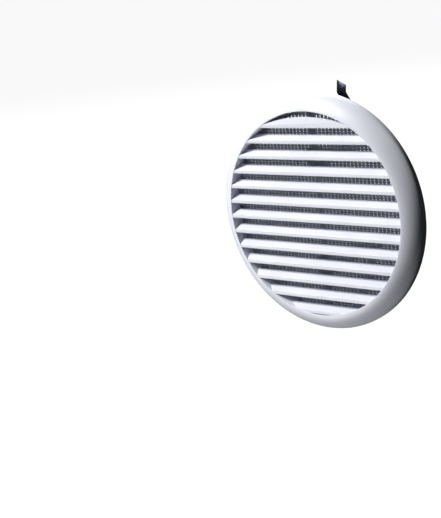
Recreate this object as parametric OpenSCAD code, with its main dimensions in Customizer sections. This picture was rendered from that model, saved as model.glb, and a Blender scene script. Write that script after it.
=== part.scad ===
// Round push-in ventilation grille with an insect net and two spring clips.
// Millimetres. Blades run along X, the duct is towards +Y and +Z is up.
// The wall the grille is pushed against is the plane Y = 0, with the duct's axis at X = Z = 0.

/* [Rim] */
// outside diameter of the rim where it meets the wall
rim_d = 175; // [168:1:185]
// depth of the rim from the wall to the front edge of the opening
rim_depth = 13.7; // [12.5:0.1:16]
// straight part of the rim's side next to the wall
rim_side = 3.6; // [2.5:0.1:5]
// width of the flat edge that meets the wall
rim_edge = 3.1; // [2.2:0.1:4]
// wall of the rim's curved front
rim_wall = 2.2; // [1.8:0.1:2.8]
// fullness of the rim's curve, where 1 is a full quarter round and 2 is a flat slope
rim_curve = 1.4; // [1.1:0.05:1.7]
// diameter of the round opening
opening_d = 150; // [144:0.5:153]
// wall of the collar around the opening
collar_wall = 2.2; // [1.8:0.1:2.8]
// how far the collar stands past the wall plane
collar_rise = 0.8; // [0.4:0.1:1.5]

/* [Blades] */
// distance from one blade to the next
blade_pitch = 11.45; // [11:0.05:12.5]
// drop from the top of the opening to the lower edge of the first blade
blade_top = 11.85; // [11:0.05:13]
// setback of the blades from the front edge of the opening
blade_set = 0.3; // [0.2:0.1:0.8]
// height of a blade's upright front face
blade_nose = 2.45; // [2:0.05:3]
// distance from a blade's front face to its crest
crest_depth = 6.2; // [5.6:0.1:6.6]
// height of a blade's crest above its lower edge
crest_h = 6.1; // [5.4:0.1:6.8]
// thickness of a blade, measured upright at its crest
blade_wall = 2.2; // [1.8:0.1:2.6]
// height of a blade's edge where the net lies on it
blade_tail = 1.6; // [1.2:0.1:2]
// thickness of the arched front plate of the top blade
plate_t = 1.9; // [1.5:0.1:2.4]
// height of the crescent opening over that plate
crescent_h = 4.05; // [3.2:0.05:5]
// radius of the plate's arched edge
crescent_r = 124.5; // [110:0.5:140]

/* [Net] */
// gap between the net's frame and the collar
net_gap = 0.3; // [0.2:0.05:0.5]
// width of the net's round frame
frame_w = 1.9; // [1.5:0.1:2.5]
// distance from the wall plane down to the net's underside
net_sink = 3.6; // [3.2:0.1:4.2]
// thickness of the mesh
mesh_t = 1.2; // [0.8:0.1:1.6]
// width of the tall ribs, one behind each blade
rib_w = 1.4; // [1:0.1:1.8]
// height of the tall ribs' middle line over the blade's lower edge
rib_lift = 0.75; // [0.6:0.05:0.9]
// width of the low ribs halfway between the tall ones
half_rib_w = 0.9; // [0.7:0.1:1.2]
// how much lower the low ribs are
half_rib_drop = 1.4; // [1:0.1:1.8]
// width of the cross bars of the mesh
bar_w = 1; // [0.8:0.1:1.4]
// distance of the outer cross bars from the middle one
bar_x = 35.5; // [33:0.5:37]
// diameter of the locating pins that stand through the net
pin_d = 1.6; // [1.4:0.1:2]
// gap around each locating pin
pin_gap = 0.3; // [0.2:0.05:0.5]
// wall around each pin's hole
boss_wall = 0.8; // [0.6:0.1:1]
// how far each pin's tip stays below the wall plane
pin_sink = 1.4; // [1:0.1:1.8]
// length of the window in each side pad
window = 2.4; // [2:0.1:3]
// width of the frame around that window
pad_wall = 1.2; // [1:0.1:1.6]

/* [Spring towers] */
// distance from the middle of the grille to a tower's axis
tower_z = 39.8; // [37:0.1:42]
// height of a tower over the wall plane
tower_h = 42.2; // [38:0.1:46]
// outside diameter of a tower at its foot
tower_foot_d = 12.4; // [12.2:0.1:13.4]
// outside diameter of a tower at its mouth
tower_top_d = 11.6; // [11.4:0.1:12.2]
// diameter of a tower's bore
tower_bore_d = 9.8; // [9.4:0.1:10]
// height of a bore's floor over the wall plane
bore_floor = 1; // [0.5:0.1:3]
// width of the thin flange around a tower's foot
flange_w = 1.5; // [1:0.1:2]
// height of that flange below the wall plane
flange_drop = 1.2; // [0.8:0.1:1.6]
// thickness of the upright web between the towers
web_t = 1.8; // [1.4:0.1:2.4]
// height of the web over the wall plane
web_h = 2.1; // [1.5:0.1:3]
// height of the gussets over the wall plane
gusset_h = 17.5; // [14:0.5:22]
// length of a gusset along the web
gusset_l = 9.3; // [7:0.1:11]
// width of the flat arm from a tower to the net's frame
arm_bar_w = 2.9; // [2.4:0.1:3.6]
// height of that arm over the wall plane
arm_bar_h = 0.2; // [0:0.1:0.6]
// height and length of the small brace outside each tower
brace = 5; // [4:0.1:6]
// width of the tab that locks the frame in the collar
tab_w = 4.6; // [4:0.1:6]
// thickness of that tab
tab_t = 1.8; // [1.4:0.1:2.4]
// gap on each side of the tab
tab_gap = 0.3; // [0.2:0.05:0.5]

/* [Springs] */
// width of the spring strip
strip_w = 8; // [7.5:0.1:8.2]
// thickness of the spring strip
strip_t = 0.7; // [0.5:0.05:0.9]
// offset of a spring's leg from the tower's axis towards the middle
leg_inset = 1.8; // [1.4:0.1:2]
// depth of the slot that takes a leg's end
slot_depth = 3.2; // [2:0.1:3.8]
// gap on each side of a leg in its slot
slot_gap = 0.3; // [0.2:0.05:0.4]
// height of the hook's centre over the wall plane
hook_h = 61.6; // [58:0.1:66]
// radius of the hook, to the middle of the strip
hook_r = 3.3; // [2.8:0.1:4]
// angle of the arm below the wall's direction
arm_angle = 36.5; // [34:0.1:42]
// length of the arm from the hook to the lip's bend
arm_l = 47; // [43:0.1:50]
// angle by which the lip rises from the wall's direction
lip_angle = 10; // [5:1:15]
// length of the lip on its long edge
lip_long = 9; // [8:0.1:10]
// length of the lip on its short edge
lip_short = 5; // [4:0.1:6]
// gap between a leg's hook and its arm
hinge_gap = 0.3; // [0.2:0.05:0.4]

/* [Hidden] */
$fn = 144;

rim_r = rim_d / 2;
opening_r = opening_d / 2;
collar_r = opening_r + collar_wall;
first_z = opening_r - blade_top;
blade_count = floor((first_z + opening_r - 0.5) / blade_pitch) + 1;
front_y = -rim_depth + blade_set;
blade_depth = rim_depth - blade_set - net_sink;
net_r = opening_r - net_gap;
net_inner_r = net_r - frame_w;
net_mid_r = net_r - frame_w / 2;
pin_rows = [for (i = [3 : 4 : blade_count - 2]) i];
pin_rise = rib_w / 2 + pin_d / 2 - 0.5;
tab_y = collar_rise - tab_t;
leg_z = tower_z - leg_inset;
hook_z = leg_z + hook_r;
leg_foot_y = bore_floor - slot_depth;
hook_end = 90 + arm_angle;
hinge = [hook_h + hook_r * sin(hook_end), hook_z - hook_r * cos(hook_end)];
leg_end = hook_end - (strip_t / 2 + hinge_gap) / hook_r * 180 / PI;

// lower edge of blade i
function blade_z(i) = first_z - i * blade_pitch;
// middle line of the tall rib behind blade i
function rib_z(i) = blade_z(i) + rib_lift;
// half the length of a straight piece at height z that ends in the middle of the net's frame
function half_chord(z) = sqrt(net_mid_r * net_mid_r - z * z);
// one point of the rim's curve, from its side at 0 degrees to the opening at 90 degrees
function curve_point(a, outer, inner, depth) = [
  inner + (outer - inner) * pow(cos(a), rim_curve),
  -rim_side - (depth - rim_side) * pow(sin(a), rim_curve)
];
// one point of the hook's bend, from the leg at 0 degrees, as depth and height
function hook_point(a, r) = [hook_h + r * sin(a), hook_z - r * cos(a)];

// turns something built along Z so that it lies along Y
module along_y() {
  rotate([-90, 0, 0])
    children();
}

// extrudes an outline of depth and height across the blades
module across(length) {
  rotate([90, 0, 90])
    linear_extrude(height = length, center = true)
      children();
}

// a block given by its middle and size in X and by its limits in Y and Z
module block(x, w, y0, y1, z0, z1) {
  translate([x - w / 2, y0, z0])
    cube([w, y1 - y0, z1 - z0]);
}

// rim and collar as one turned shell, hollow towards the wall
module rim() {
  outer = [for (a = [0 : 9 : 90]) curve_point(a, rim_r, opening_r, rim_depth)];
  inner = [for (a = [90 : -15 : 0]) curve_point(a, rim_r - rim_edge, collar_r, rim_depth - rim_wall)];
  along_y()
    rotate_extrude()
      polygon(concat(
        [[rim_r, 0]],
        outer,
        [[opening_r, collar_rise], [collar_r, collar_rise]],
        inner,
        [[rim_r - rim_edge, 0]]
      ));
}

// the round space that the blades end in, reaching into the collar's wall
module blade_space() {
  translate([0, front_y, 0])
    along_y()
      cylinder(h = blade_depth, r = opening_r + collar_wall / 2);
}

// one roof-shaped blade: upright nose, crest, and a tail that the net lies on
module blade(i) {
  translate([0, front_y, blade_z(i)])
    across(opening_d + 10)
      polygon([
        [0, 0],
        [0, blade_nose],
        [crest_depth, crest_h],
        [blade_depth, blade_tail],
        [blade_depth, 0],
        [crest_depth, crest_h - blade_wall],
        [blade_wall / 2, 0]
      ]);
}

// the top blade: an arched front plate with a flat floor behind it
module top_blade() {
  intersection() {
    translate([0, front_y, first_z + blade_top - crescent_h - crescent_r])
      along_y()
        cylinder(h = plate_t, r = crescent_r);
    block(0, opening_d, front_y, front_y + plate_t, first_z, opening_r + 1);
  }
  translate([0, front_y, first_z])
    across(opening_d + 10)
      polygon([[0, 0], [0, blade_nose], [blade_depth, blade_tail], [blade_depth, 0]]);
}

// places its child at each locating pin
module at_pins() {
  for (i = pin_rows)
    for (s = [-1, 1])
      translate([s * bar_x, 0, rib_z(i) + pin_rise])
        children();
}

// one-piece moulding: rim, collar, blades and the pins for the net
module grille_body() {
  color([0.88, 0.88, 0.93])
    difference() {
      union() {
        rim();
        intersection() {
          union() {
            top_blade();
            for (i = [1 : blade_count - 1])
              blade(i);
          }
          blade_space();
        }
        at_pins()
          translate([0, -net_sink - blade_tail, 0])
            along_y()
              cylinder(h = net_sink + blade_tail - pin_sink, d = pin_d);
      }
      for (s = [-1, 1])
        block(0, tab_w + 2 * tab_gap, tab_y, collar_rise + 1,
          s > 0 ? opening_r - 1 : -collar_r - 1, s > 0 ? collar_r + 1 : 1 - opening_r);
    }
}

// round frame, tall and low ribs and cross bars of the net
module net() {
  along_y()
    rotate_extrude()
      polygon([
        [net_inner_r, -net_sink],
        [net_r, -net_sink],
        [net_r, collar_rise],
        [net_inner_r, collar_rise]
      ]);
  for (i = [0 : blade_count - 1]) {
    z = rib_z(i);
    if (abs(z) < net_inner_r - rib_w)
      block(0, 2 * half_chord(z), -net_sink, 0, z - rib_w / 2, z + rib_w / 2);
    h = z + blade_pitch / 2;
    if (abs(h) < net_inner_r - rib_w)
      block(0, 2 * half_chord(h), -net_sink, -half_rib_drop, h - half_rib_w / 2, h + half_rib_w / 2);
  }
  for (s = [-1, 0, 1])
    block(s * bar_x, bar_w, -net_sink, mesh_t - net_sink, -half_chord(bar_x), half_chord(bar_x));
}

// pad with a square window at each side of the net's frame
module side_pads() {
  pad = window + 2 * pad_wall;
  for (s = [-1, 1])
    difference() {
      block(s * (net_inner_r - pad / 2 + 0.5), pad, -net_sink, 0, rib_z(6) + rib_w, rib_z(6) + rib_w + pad);
      block(s * (net_inner_r - pad / 2), window, -net_sink - 1, 1,
        rib_z(6) + rib_w + pad_wall, rib_z(6) + rib_w + pad_wall + window);
    }
}

// one tower with its flange, gusset, brace, flat arm and locking tab, on the upper side
module tower() {
  translate([0, -net_sink, tower_z])
    along_y() {
      cylinder(h = net_sink - flange_drop, d = tower_foot_d + 2 * flange_w);
      cylinder(h = net_sink + tower_h, d1 = tower_foot_d, d2 = tower_top_d);
    }
  across(web_t)
    polygon([
      [web_h - 1, tower_z - tower_foot_d / 2 - gusset_l],
      [web_h, tower_z - tower_foot_d / 2 - gusset_l],
      [gusset_h, tower_z - tower_foot_d / 2 + 0.5],
      [web_h - 1, tower_z - tower_foot_d / 2 + 0.5]
    ]);
  across(web_t)
    polygon([
      [arm_bar_h - 1, tower_z + tower_foot_d / 2 - 0.5],
      [arm_bar_h + brace, tower_z + tower_foot_d / 2 - 0.5],
      [arm_bar_h, tower_z + tower_foot_d / 2 + brace],
      [arm_bar_h - 1, tower_z + tower_foot_d / 2 + brace]
    ]);
  block(0, arm_bar_w, -net_sink, arm_bar_h, tower_z + 1, net_mid_r);
  block(0, tab_w, tab_y, collar_rise, net_inner_r, collar_r);
}

// bore of a tower and the slot in its floor for the spring's leg
module tower_bore() {
  translate([0, bore_floor, tower_z])
    along_y()
      cylinder(h = tower_h, d = tower_bore_d);
  block(0, strip_w + 2 * slot_gap, leg_foot_y, bore_floor + 1,
    leg_z - strip_t / 2 - slot_gap, leg_z + strip_t / 2 + slot_gap);
}

// one-piece moulding: net, the web across it and the two hollow spring towers
module net_insert() {
  color([0.82, 0.84, 0.87])
    difference() {
      union() {
        net();
        side_pads();
        at_pins()
          translate([0, -net_sink, 0])
            along_y()
              cylinder(h = net_sink, d = pin_d + 2 * pin_gap + 2 * boss_wall);
        block(0, web_t, -net_sink, web_h, -tower_z, tower_z);
        tower();
        rotate([0, 180, 0])
          tower();
      }
      at_pins()
        translate([0, -net_sink - 1, 0])
          along_y()
            cylinder(h = net_sink + 2, d = pin_d + 2 * pin_gap);
      tower_bore();
      rotate([0, 180, 0])
        tower_bore();
    }
}

// straight leg and bent hook of a spring
module spring_leg() {
  outer = [for (k = [0 : 10]) hook_point(leg_end * k / 10, hook_r + strip_t / 2)];
  inner = [for (k = [10 : -1 : 0]) hook_point(leg_end * k / 10, hook_r - strip_t / 2)];
  across(strip_w)
    polygon(concat(
      [[leg_foot_y, leg_z - strip_t / 2]],
      outer,
      inner,
      [[leg_foot_y, leg_z + strip_t / 2]]
    ));
}

// outline of a spring's arm and lip as depth and height, round at the hinge
function arm_outline(along, up, lip_up, bend, tip) = concat(
  [hinge + up * strip_t / 2],
  [bend + (up + lip_up) / (1 + up * lip_up) * strip_t / 2],
  [tip + lip_up * strip_t / 2, tip - lip_up * strip_t / 2],
  [bend - (up + lip_up) / (1 + up * lip_up) * strip_t / 2],
  [for (a = [180 : -20 : 20]) hinge + (up * cos(a) - along * sin(a)) * strip_t / 2]
);

// straight arm of a spring with its raised lip, whose end is cut at a slant
module spring_arm() {
  along = [-sin(arm_angle), cos(arm_angle)];
  up = [cos(arm_angle), sin(arm_angle)];
  lip = [sin(lip_angle), cos(lip_angle)];
  lip_up = [cos(lip_angle), -sin(lip_angle)];
  bend = hinge + along * arm_l;
  difference() {
    across(strip_w)
      polygon(arm_outline(along, up, lip_up, bend, bend + lip * lip_long));
    translate([0, bend[0], bend[1]])
      rotate([90, 0, 0])
        linear_extrude(height = 4 * lip_long, center = true)
          polygon([
            [-strip_w / 2, lip_long * cos(lip_angle) - strip_t / 2],
            [strip_w / 2, lip_short * cos(lip_angle)],
            [strip_w, lip_short * cos(lip_angle)],
            [strip_w, 2 * lip_long],
            [-strip_w / 2, 2 * lip_long]
          ]);
  }
}

module upper_spring_leg() {
  color([0.16, 0.17, 0.2])
    spring_leg();
}

module upper_spring_arm() {
  color([0.2, 0.22, 0.28])
    spring_arm();
}

module lower_spring_leg() {
  color([0.16, 0.17, 0.2])
    rotate([0, 180, 0])
      spring_leg();
}

module lower_spring_arm() {
  color([0.2, 0.22, 0.28])
    rotate([0, 180, 0])
      spring_arm();
}

grille_body();
net_insert();
upper_spring_leg();
upper_spring_arm();
lower_spring_leg();
lower_spring_arm();
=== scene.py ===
"""Round push-in ventilation grille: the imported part, dressed for its picture.

The frame is the part's own: +Y into the duct, +Z up, X along the blades, the wall at Y = 0.
Sizes below are in millimetres, as a moulder would give them; Blender gets them in metres.
"""
import math

import bpy
from mathutils import Matrix, Vector


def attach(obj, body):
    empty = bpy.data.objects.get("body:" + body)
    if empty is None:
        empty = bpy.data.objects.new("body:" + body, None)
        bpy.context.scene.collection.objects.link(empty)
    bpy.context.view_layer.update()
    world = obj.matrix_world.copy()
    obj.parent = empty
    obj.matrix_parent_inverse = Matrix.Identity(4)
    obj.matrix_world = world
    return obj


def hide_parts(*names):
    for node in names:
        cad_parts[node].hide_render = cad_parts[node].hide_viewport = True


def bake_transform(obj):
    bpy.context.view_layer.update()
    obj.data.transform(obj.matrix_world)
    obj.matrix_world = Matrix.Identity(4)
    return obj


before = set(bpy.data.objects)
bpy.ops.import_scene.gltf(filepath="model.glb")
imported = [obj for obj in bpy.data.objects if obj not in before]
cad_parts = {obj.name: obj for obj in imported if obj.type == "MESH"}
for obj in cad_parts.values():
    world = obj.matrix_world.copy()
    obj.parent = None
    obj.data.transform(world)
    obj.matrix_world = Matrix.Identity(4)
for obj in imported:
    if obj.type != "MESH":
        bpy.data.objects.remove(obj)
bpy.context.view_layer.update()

MM = 0.001

# sizes of the moulding and the net, as in the solid model
RIM_R, OPENING_R, RIM_DEPTH, RIM_SIDE, RIM_EDGE, RIM_WALL = 87.5, 75.0, 13.7, 3.6, 3.1, 2.2
COLLAR_R, COLLAR_RISE, RIM_CURVE = 77.2, 0.8, 1.4
PITCH, FIRST_Z, BLADES, FRONT_Y = 11.45, 63.15, 13, -13.4
NET_BACK, NET_R, NET_INNER_R, NET_MID_R = -3.6, 74.7, 72.8, 73.75
RIB_LIFT, PIN_X, PIN_ROWS = 0.75, 35.5, (3, 7, 11)
TOWER_Z, TOWER_H, HOOK_H, HOOK_R, LEG_Z = 39.8, 42.2, 61.6, 3.3, 38.0
ARM_ANGLE, ARM_L, LIP_ANGLE, LIP_LONG, LIP_SHORT, STRIP_W, STRIP_T = 36.5, 47.0, 10.0, 9.0, 5.0, 8.0, 0.7


# ---- drawing and shaping ----

def edit(piece):
    """Opens a piece for editing with nothing selected in it."""
    bpy.ops.object.select_all(action="DESELECT")
    bpy.context.view_layer.objects.active = piece
    piece.select_set(True)
    bpy.ops.object.mode_set(mode="EDIT")
    bpy.ops.mesh.select_all(action="DESELECT")


def close_edit():
    bpy.ops.object.mode_set(mode="OBJECT")


def draw(name, points, closed=True):
    """A line drawn by extruding one point from corner to corner, filled to a face if it is closed."""
    bpy.ops.object.select_all(action="DESELECT")
    bpy.ops.mesh.primitive_plane_add(size=MM, location=(0, 0, 0))
    piece = bpy.context.object
    piece.name = piece.data.name = name
    bpy.ops.object.mode_set(mode="EDIT")
    bpy.ops.mesh.select_all(action="SELECT")
    bpy.ops.mesh.merge(type="CENTER")
    bpy.ops.transform.translate(value=Vector(points[0]) * MM)
    for here, there in zip(points, points[1:]):
        step = (Vector(there) - Vector(here)) * MM
        bpy.ops.mesh.extrude_region_move(TRANSFORM_OT_translate={"value": step})
    if closed:
        bpy.ops.mesh.select_all(action="SELECT")
        bpy.ops.mesh.edge_face_add()
    close_edit()
    return piece


def select_points(piece, places, reach=0.02):
    """Selects the points that lie at the given places."""
    bpy.ops.mesh.select_mode(type="VERT")
    close_edit()
    for v in piece.data.vertices:
        v.select = any((v.co - Vector(p) * MM).length < reach * MM for p in places)
    bpy.ops.object.mode_set(mode="EDIT")


def round_corners(piece, corners, radius, steps=3):
    """Rounds the named corners of a drawn face."""
    edit(piece)
    select_points(piece, corners)
    bpy.ops.mesh.bevel(offset=radius * MM, segments=steps, affect="VERTICES", clamp_overlap=True)
    close_edit()


def extrude(piece, along):
    """Gives a drawn face its length."""
    edit(piece)
    bpy.ops.mesh.select_all(action="SELECT")
    bpy.ops.mesh.extrude_region_move(TRANSFORM_OT_translate={"value": Vector(along) * MM})
    bpy.ops.mesh.select_all(action="SELECT")
    bpy.ops.mesh.normals_make_consistent(inside=False)
    close_edit()
    return piece


def turn(piece, steps, middle=(0, 0, 0)):
    """Turns a drawn section once round an axis parallel to the duct's."""
    edit(piece)
    bpy.ops.mesh.select_all(action="SELECT")
    bpy.ops.mesh.delete(type="ONLY_FACE")
    bpy.ops.mesh.select_all(action="SELECT")
    bpy.ops.mesh.spin(steps=steps, angle=2 * math.pi, center=Vector(middle) * MM, axis=(0, 1, 0))
    bpy.ops.mesh.select_all(action="SELECT")
    bpy.ops.mesh.remove_doubles(threshold=0.004 * MM)
    bpy.ops.mesh.delete_loose()
    bpy.ops.mesh.select_all(action="SELECT")
    bpy.ops.mesh.normals_make_consistent(inside=False)
    close_edit()
    return piece


def block(name, low, high, edge=0.0):
    """A moulded block between two corners, with its edges broken."""
    bpy.ops.object.select_all(action="DESELECT")
    low, high = Vector(low), Vector(high)
    bpy.ops.mesh.primitive_cube_add(size=1, location=(0, 0, 0))
    piece = bpy.context.object
    piece.name = piece.data.name = name
    bpy.ops.object.mode_set(mode="EDIT")
    bpy.ops.transform.resize(value=(high - low) * MM)
    bpy.ops.transform.translate(value=(low + high) / 2 * MM)
    if edge:
        bpy.ops.mesh.bevel(offset=edge * MM, segments=2, affect="EDGES", clamp_overlap=True)
    close_edit()
    return piece


def peg(name, x, z, y0, y1, radius, sides=32, edge=0.0):
    """A round peg along the duct's axis, with its far edge broken."""
    bpy.ops.object.select_all(action="DESELECT")
    bpy.ops.mesh.primitive_cylinder_add(vertices=sides, radius=radius * MM, depth=(y1 - y0) * MM, location=(0, 0, 0))
    piece = bpy.context.object
    piece.name = piece.data.name = name
    bpy.ops.object.mode_set(mode="EDIT")
    bpy.ops.transform.rotate(value=math.pi / 2, orient_axis="X", center_override=(0, 0, 0))
    bpy.ops.transform.translate(value=Vector((x, (y0 + y1) / 2, z)) * MM)
    close_edit()
    if edge:
        break_edges(piece, edge)
    return piece


def finish_with(piece, kind, **settings):
    """Adds a modifier to a piece and applies it."""
    bpy.ops.object.select_all(action="DESELECT")
    bpy.context.view_layer.objects.active = piece
    piece.select_set(True)
    bpy.ops.object.modifier_add(type=kind)
    made = piece.modifiers[-1]
    for key, value in settings.items():
        setattr(made, key, value)
    bpy.ops.object.modifier_apply(modifier=made.name)
    return piece


def break_edges(piece, width, steps=2, over=35):
    return finish_with(piece, "BEVEL", width=width * MM, segments=steps, limit_method="ANGLE",
                       angle_limit=math.radians(over), harden_normals=False)


def repeat(piece, count, step):
    """Copies a piece in a row."""
    return finish_with(piece, "ARRAY", count=count, use_relative_offset=False, use_constant_offset=True,
                       constant_offset_displace=Vector(step) * MM)


def cut(piece, tool, how="DIFFERENCE", keep_tool=False):
    """Trims a piece with a tool shape."""
    finish_with(piece, "BOOLEAN", object=tool, operation=how, solver="EXACT")
    if not keep_tool:
        bpy.data.objects.remove(tool)
    return piece


def join(name, parts):
    bpy.ops.object.select_all(action="DESELECT")
    for part in parts:
        part.select_set(True)
    bpy.context.view_layer.objects.active = parts[0]
    if len(parts) > 1:
        bpy.ops.object.join()
    parts[0].name = parts[0].data.name = name
    return parts[0]


def twin(piece, name):
    """A copy with its own mesh, half a turn round the duct's axis."""
    bpy.ops.object.select_all(action="DESELECT")
    piece.select_set(True)
    bpy.context.view_layer.objects.active = piece
    bpy.ops.object.duplicate()
    made = bpy.context.object
    made.name = made.data.name = name
    edit(made)
    bpy.ops.mesh.select_all(action="SELECT")
    bpy.ops.transform.rotate(value=math.pi, orient_axis="Y", center_override=(0, 0, 0))
    close_edit()
    return made


def smooth(piece, angle=32):
    bpy.ops.object.select_all(action="DESELECT")
    bpy.context.view_layer.objects.active = piece
    piece.select_set(True)
    bpy.ops.object.shade_smooth_by_angle(angle=math.radians(angle))


# ---- the one-piece moulding: rim, collar, blades and net pins ----

def rim_curve(a, outer, inner, depth):
    """A point of the rim's curve as radius and depth, from its side at 0 to the opening at 90."""
    c, s = max(0.0, math.cos(math.radians(a))), math.sin(math.radians(a))
    return inner + (outer - inner) * c ** RIM_CURVE, -RIM_SIDE - (depth - RIM_SIDE) * s ** RIM_CURVE


def make_rim():
    outer = [rim_curve(a, RIM_R, OPENING_R, RIM_DEPTH) for a in range(0, 91, 5)]
    inner = [rim_curve(a, RIM_R - RIM_EDGE, COLLAR_R, RIM_DEPTH - RIM_WALL) for a in range(90, -1, -10)]
    corners = {"wall_out": (RIM_R, 0), "opening": (OPENING_R, -RIM_DEPTH), "collar_in": (OPENING_R, COLLAR_RISE),
               "collar_out": (COLLAR_R, COLLAR_RISE), "wall_in": (RIM_R - RIM_EDGE, 0)}
    line = [corners["wall_out"], *outer, corners["collar_in"], corners["collar_out"], *inner, corners["wall_in"]]
    rim = draw("rim", [(r, y, 0) for r, y in line])
    round_corners(rim, [(r, y, 0) for r, y in corners.values()], 0.35)
    turn(rim, 240)
    for side in (1, -1):
        low, high = sorted((side * (OPENING_R - 1), side * (COLLAR_R + 1)))
        cut(rim, block("notch", (-2.6, -1.0, low), (2.6, COLLAR_RISE + 1, high)))
    return rim


def make_blades():
    """Twelve roof-shaped blades, trimmed to end inside the collar's wall."""
    section = [(0, 0), (0, 2.45), (6.2, 6.1), (9.8, 1.6), (9.8, 0), (6.2, 3.9), (1.1, 0)]
    line = [(-80, FRONT_Y + y, FIRST_Z - PITCH + z) for y, z in section]
    blade = draw("blade", line)
    round_corners(blade, line[:3], 0.3)
    extrude(blade, (160, 0, 0))
    repeat(blade, BLADES - 1, (0, 0, -PITCH))
    cut(blade, peg("round", 0, 0, FRONT_Y - 1, 1, OPENING_R + 1.1, sides=240), "INTERSECT")
    return blade


def make_top_blade():
    """The arched front plate under the crescent, and the flat floor behind it."""
    half = math.sqrt(76.1 ** 2 - FIRST_Z ** 2)
    top, radius = 70.95, 124.5
    centre = top - radius
    arch = [(half * k / 16, FRONT_Y, centre + math.sqrt(radius ** 2 - (half * k / 16) ** 2)) for k in range(-16, 17)]
    plate = draw("arched_plate", [(-half, FRONT_Y, FIRST_Z), *arch, (half, FRONT_Y, FIRST_Z)])
    extrude(plate, (0, 1.9, 0))
    break_edges(plate, 0.25)
    floor_ = draw("plate_floor", [(-80, FRONT_Y + y, FIRST_Z + z) for y, z in [(0.9, 0.02), (0.9, 2.2), (9.8, 1.6), (9.8, 0)]])
    extrude(floor_, (160, 0, 0))
    for part in (plate, floor_):
        cut(part, peg("round", 0, 0, FRONT_Y - 1, 1, OPENING_R + 1.1, sides=240), "INTERSECT")
    return [plate, floor_]


def pin_places():
    return [(side * PIN_X, FIRST_Z - i * PITCH + RIB_LIFT + 1.0) for i in PIN_ROWS for side in (-1, 1)]


def make_grille_body():
    pins = [peg("net_pin", x, z, -5.2, -1.4, 0.8, sides=24, edge=0.25) for x, z in pin_places()]
    body = join("grille_moulding", [make_rim(), make_blades(), *make_top_blade(), *pins])
    smooth(body)
    return body


# ---- the net insert: frame, ribs, fine mesh, web and towers ----

def chord(z, r=NET_MID_R):
    return math.sqrt(max(0.0, r * r - z * z))


def make_net():
    ring = draw("net_frame", [(r, y, 0) for r, y in [(NET_INNER_R, NET_BACK), (NET_R, NET_BACK), (NET_R, COLLAR_RISE), (NET_INNER_R, COLLAR_RISE)]])
    round_corners(ring, [(NET_R, COLLAR_RISE, 0), (NET_INNER_R, COLLAR_RISE, 0)], 0.35)
    turn(ring, 200)
    rib_top = FIRST_Z + RIB_LIFT
    tall = block("tall_ribs", (-80, NET_BACK, rib_top - 0.7), (80, 0, rib_top + 0.7), edge=0.2)
    repeat(tall, BLADES, (0, 0, -PITCH))
    low = block("low_ribs", (-80, NET_BACK, rib_top - PITCH / 2 - 0.45), (80, -1.0, rib_top - PITCH / 2 + 0.45), edge=0.15)
    repeat(low, BLADES, (0, 0, -PITCH))
    fine = []
    for share in (0.19, 0.345, 0.655, 0.81):
        z = rib_top - PITCH * share + PITCH
        bar = block("fine_bars", (-80, NET_BACK, z - 0.43), (80, -1.5, z + 0.43), edge=0.12)
        fine.append(repeat(bar, BLADES + 2, (0, 0, -PITCH)))
    fine = join("fine_bars", fine)
    cross = block("cross_bars", (-73.6 - 0.65, NET_BACK, -80), (-73.6 + 0.65, -1.65, 80), edge=0.12)
    repeat(cross, 47, (3.2, 0, 0))
    parts = [tall, low, fine, cross]
    drills = [peg("drill", x, z, -6, 2, 1.1, sides=24) for x, z in pin_places()]
    drills += [block("drill", (side * 70.4 - 1.2, -6, -2.2), (side * 70.4 + 1.2, 2, 0.2)) for side in (-1, 1)]
    drill = join("drill", drills)
    for part in parts:
        cut(part, peg("round", 0, 0, NET_BACK - 1, 1, NET_MID_R, sides=200), "INTERSECT")
        cut(part, drill, keep_tool=True)
    bosses = []
    for x, z in pin_places():
        boss = draw("pin_boss", [(x + 1.1, NET_BACK, z), (x + 1.9, NET_BACK, z), (x + 1.9, 0, z), (x + 1.1, 0, z)])
        round_corners(boss, [(x + 1.9, 0, z)], 0.2, 2)
        bosses.append(turn(boss, 32, (x, 0, z)))
    pads = []
    for side in (-1, 1):
        pad = block("side_pad", (side * 70.9 - 2.4, NET_BACK, -3.4), (side * 70.9 + 2.4, 0, 1.4), edge=0.2)
        pads.append(cut(pad, drill, keep_tool=True))
    bpy.data.objects.remove(drill)
    return [ring, *parts, *bosses, *pads]


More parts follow.
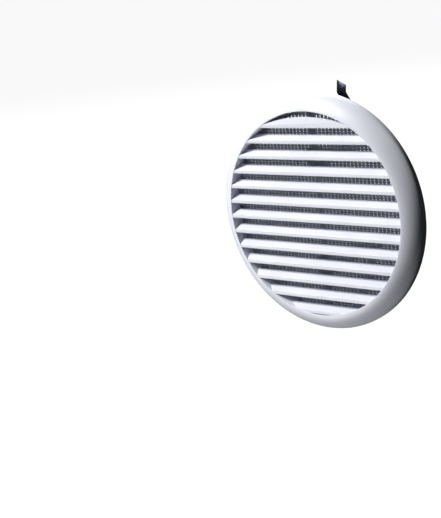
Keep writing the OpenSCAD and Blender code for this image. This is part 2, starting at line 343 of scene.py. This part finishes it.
def make_tower():
    """A hollow spring tower with its foot flange, gusset, brace, arm and locking tab, on the upper side."""
    foot, top, bore = 6.2, 5.8, 4.9
    z = TOWER_Z
    def wall(y):
        return foot + (top - foot) * (y - NET_BACK) / (TOWER_H - NET_BACK)
    line = [(0, 1.0), (bore, 1.0), (bore, TOWER_H), (top, TOWER_H), (wall(-0.4), -0.4), (wall(-0.9) + 0.45, -1.05),
            (foot + 1.5, -1.2), (foot + 1.5, NET_BACK), (0, NET_BACK)]
    tower = draw("tower", [(r, y, z) for r, y in line])
    round_corners(tower, [(bore, TOWER_H, z), (top, TOWER_H, z)], 0.3, 3)
    round_corners(tower, [(foot + 1.5, -1.2, z)], 0.3, 3)
    turn(tower, 96, (0, 0, z))
    cut(tower, block("slot", (-4.3, -2.2, LEG_Z - 0.65), (4.3, 2.0, LEG_Z + 0.65)))
    inner, outer = z - foot, z + foot
    gusset = draw("gusset", [(-0.9, 1.1, inner - 9.3), (-0.9, 2.1, inner - 9.3), (-0.9, 17.5, inner + 0.3), (-0.9, 1.1, inner + 0.3)])
    brace = draw("brace", [(-0.9, -0.8, outer - 0.3), (-0.9, 5.2, outer - 0.3), (-0.9, 0.2, outer + 5), (-0.9, -0.8, outer + 5)])
    for rib in (gusset, brace):
        extrude(rib, (1.8, 0, 0))
        break_edges(rib, 0.25)
    arm = block("flat_arm", (-1.45, NET_BACK, z + 5.5), (1.45, 0.2, NET_MID_R), edge=0.25)
    tab = block("tab", (-2.3, -1.0, NET_INNER_R), (2.3, COLLAR_RISE, COLLAR_R), edge=0.2)
    return join("tower", [tower, gusset, brace, arm, tab])


def make_net_insert():
    tower = make_tower()
    web = block("web", (-0.9, NET_BACK, -34), (0.9, 2.1, 34), edge=0.25)
    insert = join("net_moulding", [*make_net(), web, tower, twin(tower, "lower_tower")])
    smooth(insert)
    return insert


# ---- the springs: one bent steel strip each ----

def make_spring():
    """Leg, hook, arm and slanted lip of the upper spring, bent from one strip."""
    hook_z = LEG_Z + HOOK_R
    end = 90 + ARM_ANGLE
    path = [(y, LEG_Z) for y in (-2.2, 6, 14, 22, 30, 38, 46, 52, 56, 59)]
    path += [(HOOK_H + HOOK_R * math.sin(math.radians(a)), hook_z - HOOK_R * math.cos(math.radians(a)))
             for a in [end * k / 22 for k in range(23)]]
    hinge = Vector(path[-1])
    arm = Vector((-math.sin(math.radians(ARM_ANGLE)), math.cos(math.radians(ARM_ANGLE))))
    lip = Vector((math.sin(math.radians(LIP_ANGLE)), math.cos(math.radians(LIP_ANGLE))))
    path += [tuple(hinge + arm * s) for s in (0.5, 1, 1.5, 2, 2.5, 3, 3.5, 4, 5, 6, 8, 12, 18, 24, 30, 36, 41, 44.5)]
    bend = hinge + arm * ARM_L
    turned = math.radians(ARM_ANGLE + LIP_ANGLE)
    radius = 1.3
    near = radius * math.tan(turned / 2)
    across = Vector((math.cos(math.radians(ARM_ANGLE)), math.sin(math.radians(ARM_ANGLE))))
    centre = bend - arm * near + across * radius
    for k in range(9):
        a = turned * k / 8
        path.append(tuple(centre - across * radius * math.cos(a) + arm * radius * math.sin(a)))
    path += [tuple(bend + lip * s) for s in (2.5, 5, 7, LIP_LONG + 1)]
    strip = draw("spring", [(-STRIP_W / 2, y, z) for y, z in path], closed=False)
    edit(strip)
    bpy.ops.mesh.select_all(action="SELECT")
    bpy.ops.mesh.extrude_region_move(TRANSFORM_OT_translate={"value": (STRIP_W * MM, 0, 0)})
    bpy.ops.mesh.select_all(action="SELECT")
    ends = [bend + lip * s for s in (LIP_LONG, LIP_SHORT)]
    long_end, short_end = Vector((-STRIP_W / 2, *ends[0])), Vector((STRIP_W / 2, *ends[1]))
    normal = (short_end - long_end).cross(Vector((0, lip[1], -lip[0])))
    if normal.z < 0:
        normal.negate()
    bpy.ops.mesh.bisect(plane_co=long_end * MM, plane_no=normal.normalized(), clear_outer=True)
    bpy.ops.mesh.select_all(action="SELECT")
    bpy.ops.mesh.normals_make_consistent(inside=False)
    close_edit()
    finish_with(strip, "SOLIDIFY", thickness=STRIP_T * MM, offset=0)
    break_edges(strip, 0.14, 2, 50)
    return strip


# ---- finishes ----

def shade(code):
    """An sRGB hex colour as the linear colour that Blender works in."""
    parts = [int(code[i:i + 2], 16) / 255 for i in (1, 3, 5)]
    return (*[p / 12.92 if p <= 0.04045 else ((p + 0.055) / 1.055) ** 2.4 for p in parts], 1.0)


def node(tree, kind, inputs=None, **settings):
    """Adds a node with its settings, and its inputs as values or links."""
    made = tree.nodes.new(kind)
    for key, value in settings.items():
        setattr(made, key, value)
    for socket, value in (inputs or {}).items():
        if isinstance(value, bpy.types.NodeSocket):
            tree.links.new(value, made.inputs[socket])
        else:
            made.inputs[socket].default_value = value
    return made


def new_material(name):
    made = bpy.data.materials.new(name)
    made.use_nodes = True
    made.node_tree.nodes.clear()
    return made, made.node_tree


def moulded_asa(name, light, dark):
    made, tree = new_material(name)
    place = node(tree, "ShaderNodeTexCoord").outputs["Object"]
    cloud = node(tree, "ShaderNodeTexNoise", {"Vector": place, "Scale": 28.0, "Detail": 3.0})
    grain = node(tree, "ShaderNodeTexNoise", {"Vector": place, "Scale": 1900.0, "Detail": 2.0})
    tint = node(tree, "ShaderNodeValToRGB", {"Fac": cloud.outputs["Fac"]})
    tint.color_ramp.elements[0].position, tint.color_ramp.elements[1].position = 0.3, 0.7
    tint.color_ramp.elements[0].color, tint.color_ramp.elements[1].color = shade(dark), shade(light)
    rough = node(tree, "ShaderNodeMapRange", {"Value": grain.outputs["Fac"], "To Min": 0.38, "To Max": 0.5})
    bump = node(tree, "ShaderNodeBump", {"Height": grain.outputs["Fac"], "Strength": 0.12, "Distance": 0.00012})
    shader = node(tree, "ShaderNodeBsdfPrincipled", {"Base Color": tint.outputs["Color"], "Roughness": rough.outputs["Result"],
                  "Normal": bump.outputs["Normal"], "IOR": 1.51})
    node(tree, "ShaderNodeOutputMaterial", {"Surface": shader.outputs["BSDF"]})
    return made


def blued_spring_steel():
    made, tree = new_material("blued_spring_steel")
    place = node(tree, "ShaderNodeTexCoord").outputs["Object"]
    long = node(tree, "ShaderNodeMapping", {"Vector": place, "Scale": (2200.0, 60.0, 60.0)})
    streak = node(tree, "ShaderNodeTexNoise", {"Vector": long.outputs["Vector"], "Scale": 1.0, "Detail": 3.0})
    cloud = node(tree, "ShaderNodeTexNoise", {"Vector": place, "Scale": 120.0, "Detail": 2.0})
    tint = node(tree, "ShaderNodeValToRGB", {"Fac": cloud.outputs["Fac"]})
    tint.color_ramp.elements[0].position, tint.color_ramp.elements[1].position = 0.35, 0.68
    tint.color_ramp.elements[0].color, tint.color_ramp.elements[1].color = shade("#2B2E36"), shade("#3E465A")
    rough = node(tree, "ShaderNodeMapRange", {"Value": streak.outputs["Fac"], "To Min": 0.26, "To Max": 0.46})
    bump = node(tree, "ShaderNodeBump", {"Height": streak.outputs["Fac"], "Strength": 0.15, "Distance": 0.00006})
    shader = node(tree, "ShaderNodeBsdfPrincipled", {"Base Color": tint.outputs["Color"], "Metallic": 1.0,
                  "Roughness": rough.outputs["Result"], "Normal": bump.outputs["Normal"]})
    node(tree, "ShaderNodeOutputMaterial", {"Surface": shader.outputs["BSDF"]})
    return made


def clothe(piece, material):
    piece.data.materials.clear()
    piece.data.materials.append(material)


# ---- floor, light and camera ----

def make_studio():
    line = [(0, 0, -90.4)] + [(r, 0, -90.4) for r in (600, 1200, 1800, 2400)]
    line += [(2400 + 900 * math.sin(math.radians(a)), 0, -90.4 + 900 * (1 - math.cos(math.radians(a)))) for a in range(10, 91, 10)]
    line += [(3300, 0, 2400)]
    sweep = draw("studio_sweep", line, closed=False)
    edit(sweep)
    bpy.ops.mesh.select_all(action="SELECT")
    bpy.ops.mesh.spin(steps=96, angle=2 * math.pi, center=(0, 0, 0), axis=(0, 0, 1))
    bpy.ops.mesh.select_all(action="SELECT")
    bpy.ops.mesh.remove_doubles(threshold=0.0001)
    bpy.ops.mesh.normals_make_consistent(inside=True)
    close_edit()
    smooth(sweep, 60)
    made, tree = new_material("studio_paper")
    shader = node(tree, "ShaderNodeBsdfPrincipled", {"Base Color": shade("#5A5A5A"), "Roughness": 0.9,
                  "Emission Color": shade("#FFFFFF"), "Emission Strength": 0.93})
    node(tree, "ShaderNodeOutputMaterial", {"Surface": shader.outputs["BSDF"]})
    sweep.data.materials.append(made)
    sweep.visible_diffuse = sweep.visible_glossy = sweep.visible_shadow = False


def lamp(name, place, aim, size, power, colour="#FFFFFF"):
    bpy.ops.object.light_add(type="AREA", location=Vector(place) * MM)
    made = bpy.context.object
    made.name = made.data.name = name
    made.data.shape, made.data.size, made.data.energy = "DISK", size * MM, power
    made.data.color = shade(colour)[:3]
    made.rotation_mode = "QUATERNION"
    made.rotation_quaternion = (Vector(aim) - Vector(place)).to_track_quat("-Z", "Y")


def make_camera():
    """Stands where the photograph was taken from: rows are the picture's right, down and forward."""
    right, down, ahead = (0.75126773, 0.65022746, -0.11314169), (0.0733961, -0.25267331, -0.96476381), (-0.65590381, 0.71649176, -0.23754946)
    bpy.ops.object.camera_add(location=(0, 0, 0))
    made = bpy.context.object
    made.name = "photo_camera"
    made.data.lens, made.data.sensor_width = 84.24, 36.0
    turned = Matrix((right, [-v for v in down], [-v for v in ahead])).transposed().to_4x4()
    made.matrix_world = Matrix.Translation(Vector((523.67, -686.67, 183.76)) * MM) @ turned
    made.data.clip_end = 20
    bpy.context.scene.camera = made


body_plastic = moulded_asa("moulded_asa_pale_grey", "#E1E2EC", "#D8DAE4")
# The net gets a darker grey than the body, though it is likely the same plastic: painted shade that darkens the gaps
# seen between the blades.
net_plastic_shade_darkened = moulded_asa("moulded_asa_net_shade_darkened", "#BFC5CD", "#B6BCC5")
steel = blued_spring_steel()

grille = make_grille_body()
clothe(grille, body_plastic)
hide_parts("grille_body")
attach(grille, "grille")

net = make_net_insert()
clothe(net, net_plastic_shade_darkened)
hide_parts("net_insert")
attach(net, "grille")

upper = make_spring()
lower = twin(upper, "lower_spring")
upper.name = upper.data.name = "upper_spring"
for spring, side, name in ((upper, 1, "upper"), (lower, -1, "lower")):
    smooth(spring, 40)
    clothe(spring, steel)
    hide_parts(name + "_spring_leg", name + "_spring_arm")
    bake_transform(spring)

make_studio()
lamp("key", (-649, -927, 1131), (0, 0, 0), 450, 34)
lamp("floor_glow", (-585, -690, -936), (0, 0, 0), 500, 9)
lamp("back_light", (-700, 900, 1100), (0, 0, 0), 700, 22)
make_camera()
world = bpy.context.scene.world = bpy.data.worlds.new("soft_room")
world.use_nodes = True
world.node_tree.nodes.clear()
room = node(world.node_tree, "ShaderNodeBackground", {"Color": shade("#D2E0E2"), "Strength": 0.025})
node(world.node_tree, "ShaderNodeOutputWorld", {"Surface": room.outputs["Background"]})
bpy.context.scene.view_settings.view_transform = "Standard"
